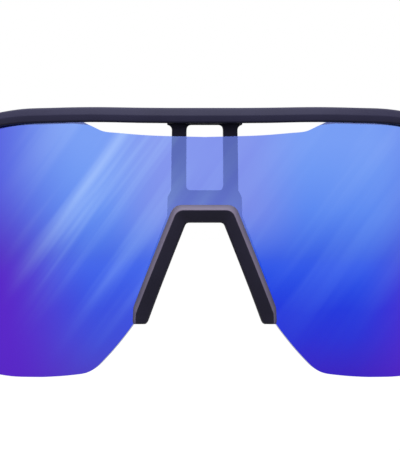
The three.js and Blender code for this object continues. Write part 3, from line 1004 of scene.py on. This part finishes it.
def turnedSteel():
    surface = Surface("turnedSteel")
    brushed = surface.noise(steel["brushing"], 3.0, steel["brushStretch"])
    colour = surface.between(brushed, steel["dark"], steel["light"])
    least, added = steel["roughness"]
    shader = surface.principled(
        Base_Color=colour, Metallic=1.0, Roughness=least + added * brushed,
        Normal=surface.bump(brushed, steel["brushDepth"]))
    return surface.finish(shader)


coating = {
    "height": 0.059,
    "middle": 0.005,
    "reach": 0.049,
    # height on the lens, and the mirror's colour there
    "ramp": (
        (0.02, (0.036, 0.012, 0.50)),
        (0.15, (0.018, 0.025, 0.60)),
        (0.25, (0.012, 0.032, 0.65)),
        (0.43, (0.018, 0.085, 0.76)),
        (0.62, (0.045, 0.205, 0.85)),
        (0.77, (0.070, 0.270, 0.87)),
        (0.87, (0.095, 0.300, 0.88)),
    ),
    "tint": (0.33, 0.41, 0.97, 1),  # the light that comes through
    "clearShare": (0.02, 0.40),  # how much comes through, at the bottom and at the top
    "clearRise": (0.30, 0.90),  # the heights between which that changes
    "edgeShield": 0.7,  # how much less comes through at the ends
    "violet": (0.092, 0.018, 0.53, 1),
    "edgeBlue": (0.070, 0.085, 0.72, 1),
    "edgeRise": (0.35, 0.8),  # the ends go from violet to blue between these heights
    "edgeFade": (0.62, 1.1),
    "edgeWidening": 0.12,  # the ends' colour reaches further in at the bottom
    "centreViolet": (0.175, 0.215, 0.76, 1),
    "centreShare": 0.85,
    "centreFade": (0.024, 0.008),
    "centreRise": (0.40, 0.65),
    # Painted reflections of studio light in the coating's colour: the glare's colour, its strength and
    # side, the beams and the diagonal streaks.
    "glare": (0.38, 0.60, 1.0, 1),
    "faintGlare": 0.25,
    "strongGlare": 0.85,
    "leftGlow": (0.012, -0.012),  # the painted glare is stronger on the wearer's right
    "beams": ((-0.0432, 1.0), (-0.001, 0.7)),  # where the brighter painted reflection streaks are, and how bright
    "beamWidth": 0.015,
    "streakTurn": math.radians(54),
    "streakScale": 160.0,
    "streakStretch": 0.06,
    "streakDrift": 0.08,  # how far the painted reflection streaks shift the colour
    "streakEdge": (0.42, 0.70),
    "streakRise": (0.0, 0.75),
    "betweenBeams": 0.35,  # how bright the painted reflection streaks are away from the beams
    "leftTint": 0.07,
    "roughness": (0.07, 0.03),
}


# The mirror coating on the outside of the lens. Its colour holds painted reflections of studio light:
# glare, bright beams and diagonal streaks. Seen from inside the lens itself it lets all light by.
def mirrorCoating():
    surface = Surface("mirrorCoating")
    x, _, z = surface.axes()
    height = z / coating["height"]
    side = (x - coating["middle"]).size() / coating["reach"]
    cosine, sine = math.cos(coating["streakTurn"]), math.sin(coating["streakTurn"])
    across = x * sine - z * cosine
    along = x * cosine + z * sine
    direction = surface.add("ShaderNodeCombineXYZ", {}, {0: across, 2: along * coating["streakStretch"]})
    # Diagonal painted reflection streaks; they also vary the roughness.
    reflectionStreaks = surface.add("ShaderNodeTexNoise", {},
                          {"Vector": direction, "Scale": coating["streakScale"], "Detail": 3.0})
    colour = surface.ramp(
        height + coating["streakDrift"] * (reflectionStreaks - 0.5),
        *coating["ramp"],
    )
    centre = surface.spread(x.size(), *coating["centreFade"])
    centre = centre * surface.spread(height, *coating["centreRise"])
    colour = surface.between(centre * coating["centreShare"], colour, coating["centreViolet"])
    leftward = surface.spread(x, *coating["leftGlow"])
    strength = coating["faintGlare"] + (coating["strongGlare"] - coating["faintGlare"]) * leftward
    beam = sum(share * surface.spread((across - middle).size(), coating["beamWidth"], 0.0)
               for middle, share in coating["beams"])
    between = coating["betweenBeams"]
    glare = surface.spread(reflectionStreaks, *coating["streakEdge"]) * (between + (1 - between) * beam)
    glare = glare * surface.spread(height, *coating["streakRise"])
    glare = glare * strength + coating["leftTint"] * leftward
    # The painted glare is laid over the coating's colour.
    colour = surface.between(glare, colour, coating["glare"])
    low = 1 - height
    outer = surface.spread(side + coating["edgeWidening"] * low * low, *coating["edgeFade"])
    rise = surface.spread(height, *coating["edgeRise"])
    colour = surface.between(outer, colour, surface.between(rise, coating["violet"], coating["edgeBlue"]))
    least, added = coating["roughness"]
    mirror = surface.principled(Base_Color=colour, Metallic=1.0, Roughness=least + added * reflectionStreaks)
    tinted = surface.add("ShaderNodeBsdfTransparent", {}, {"Color": coating["tint"]})
    clear = surface.spread(height, *coating["clearRise"], *coating["clearShare"])
    clear = clear * (1 - coating["edgeShield"] * outer)
    outside = surface.add("ShaderNodeMixShader", {}, {0: clear, 1: mirror, 2: tinted})
    return surface.finish(clearFromWithin(surface, outside))


def clearFromWithin(surface, outside):
    backfacing = surface.add("ShaderNodeNewGeometry", {}, {}, "Backfacing")
    clear = surface.add("ShaderNodeBsdfTransparent", {}, {"Color": (1, 1, 1, 1)})
    return surface.add("ShaderNodeMixShader", {}, {0: backfacing, 1: outside, 2: clear})


smoked = {
    "dark": (0.020, 0.024, 0.040, 1),
    "light": (0.030, 0.034, 0.052, 1),
    "clouds": 40.0,
    "roughness": (0.06, 0.04),
    "tint": (0.42, 0.44, 0.55, 1),
    "clear": (0.36, 0.26, 0.05),  # what comes through: at the top, how much more below, and the drift
}


# The plain smoked polycarbonate that shows on the wearer's side and round the edge.
def smokedInside():
    surface = Surface("smokedInside")
    clouds = surface.noise(smoked["clouds"])
    colour = surface.between(clouds, smoked["dark"], smoked["light"])
    least, added = smoked["roughness"]
    gloss = surface.principled(Base_Color=colour, Roughness=least + added * clouds)
    _, _, z = surface.axes()
    above, below, drift = smoked["clear"]
    share = above + below * (1 - z / coating["height"]) + drift * (clouds - 0.5)
    tinted = surface.add("ShaderNodeBsdfTransparent", {}, {"Color": smoked["tint"]})
    mixed = surface.add("ShaderNodeMixShader", {}, {0: share, 1: gloss, 2: tinted})
    return surface.finish(clearFromWithin(surface, mixed))


print("materials")
nylonFinish = frameNylon()
rubberFinish = softRubber()
steelFinish = turnedSteel()
lensFinishes = (mirrorCoating(), smokedInside())

print("lens")
finishPiece(makeLens(lensFinishes), "lens", "front", lensFinishes, ["shield_lens"])
print("brow frame")
finishPiece(makeBrowFrame(), "browFrame", "front", [nylonFinish], ["brow_frame"])
print("nose pad")
finishPiece(makeNosePad(), "nosePad", "front", [rubberFinish], ["nose_pad"])
print("temples")
leftPieces = [
    (finishLeaf(frameLeaf(0)), "FrameLeaf", "front", "hinge_steel", steelFinish, "frame_hinge_leaf"),
    (makeHingeScrew(), "HingeScrew", "front", "hinge_steel", steelFinish, "hinge_screw"),
    (makeLensScrew(1), "LensScrew", "front", "hinge_steel", steelFinish, "lens_screw"),
    (finishLeaf(templeLeaf(0)), "TempleLeaf", "temple", "hinge_steel", steelFinish, "temple_hinge_leaf"),
    (makeArm(), "TempleArm", "temple", "frame_nylon", nylonFinish, "temple_arm"),
    (makeGrip(), "TempleGrip", "temple", "soft_rubber", rubberFinish, "temple_grip"),
    (makeSleeve(), "TipSleeve", "temple", "soft_rubber", rubberFinish, "tip_sleeve"),
]
for obj, name, part, slot, surface, node in leftPieces:
    other = mirrorCopy(obj, "right" + name)
    for piece, side in ((obj, "left"), (other, "right")):
        body = "front" if part == "front" else side + "_temple"
        finishPiece(piece, side + name, body, [surface], [side + "_" + node])
for node in ("nose_pad_wire", "left_tip_wire", "right_tip_wire"):
    wire = frame["nodes"][node]
    wire.data.materials.clear()
    wire.data.materials.append(steelFinish)

studio = {
    "floorSize": 40,
    "floorTones": ((0.055, 0.055, 0.055, 1), (0.065, 0.065, 0.065, 1)),
    "floorGlow": 0.95,
    "skyLight": 1.0,
    "topLight": 24.0,
    "topSize": 1.2,
    "topAt": (0, -0.25, 1.1),
    "cameraBack": 2.5,
    "viewHeight": 0.0984,  # how much the camera's frame takes in, at the front of the lens
    "aim": (-0.00103, 0.0334),
}


def plainPlane(name, size, height):
    bpy.ops.object.select_all(action="DESELECT")
    bpy.ops.mesh.primitive_plane_add(size=size, location=(0, 0, height))
    plane = added(name)
    return plane


print("studio")
floor = plainPlane("floor", studio["floorSize"], 0)
floorSurface = Surface("paleFloor")
speckle = floorSurface.noise(3.0)
floor.data.materials.append(floorSurface.finish(floorSurface.principled(
    Base_Color=floorSurface.between(speckle, *studio["floorTones"]),
    Roughness=0.9, Specular_IOR_Level=0.0,
    Emission_Color=(1, 1, 1, 1), Emission_Strength=studio["floorGlow"])))
floor.visible_diffuse = False

darkCard = plainPlane("darkCard", studio["floorSize"], -0.01)
darkSurface = Surface("darkCard")
darkCard.data.materials.append(darkSurface.finish(darkSurface.principled(
    Base_Color=(0.01, 0.01, 0.01, 1), Roughness=1.0, Specular_IOR_Level=0.0)))
darkCard.visible_camera = False
darkCard.visible_glossy = False

world = bpy.data.worlds.new("studio")
world.use_nodes = True
world.node_tree.nodes["Background"].inputs["Color"].default_value = (1, 1, 1, 1)
world.node_tree.nodes["Background"].inputs["Strength"].default_value = studio["skyLight"]
bpy.context.scene.world = world

bpy.ops.object.light_add(type="AREA", location=studio["topAt"])
top = bpy.context.object
top.data.size = studio["topSize"]
top.data.energy = studio["topLight"]
top.visible_camera = False

sensor = 36
front = Vector((studio["aim"][0], faceBack * millimetre - studio["cameraBack"], studio["aim"][1]))
bpy.ops.object.camera_add(location=front, rotation=(math.pi / 2, 0, 0))
camera = bpy.context.object
camera.data.sensor_width = sensor
camera.data.lens = sensor * studio["cameraBack"] / studio["viewHeight"]
camera.data.clip_end = 100
bpy.context.scene.camera = camera
bpy.context.scene.view_settings.view_transform = "Standard"
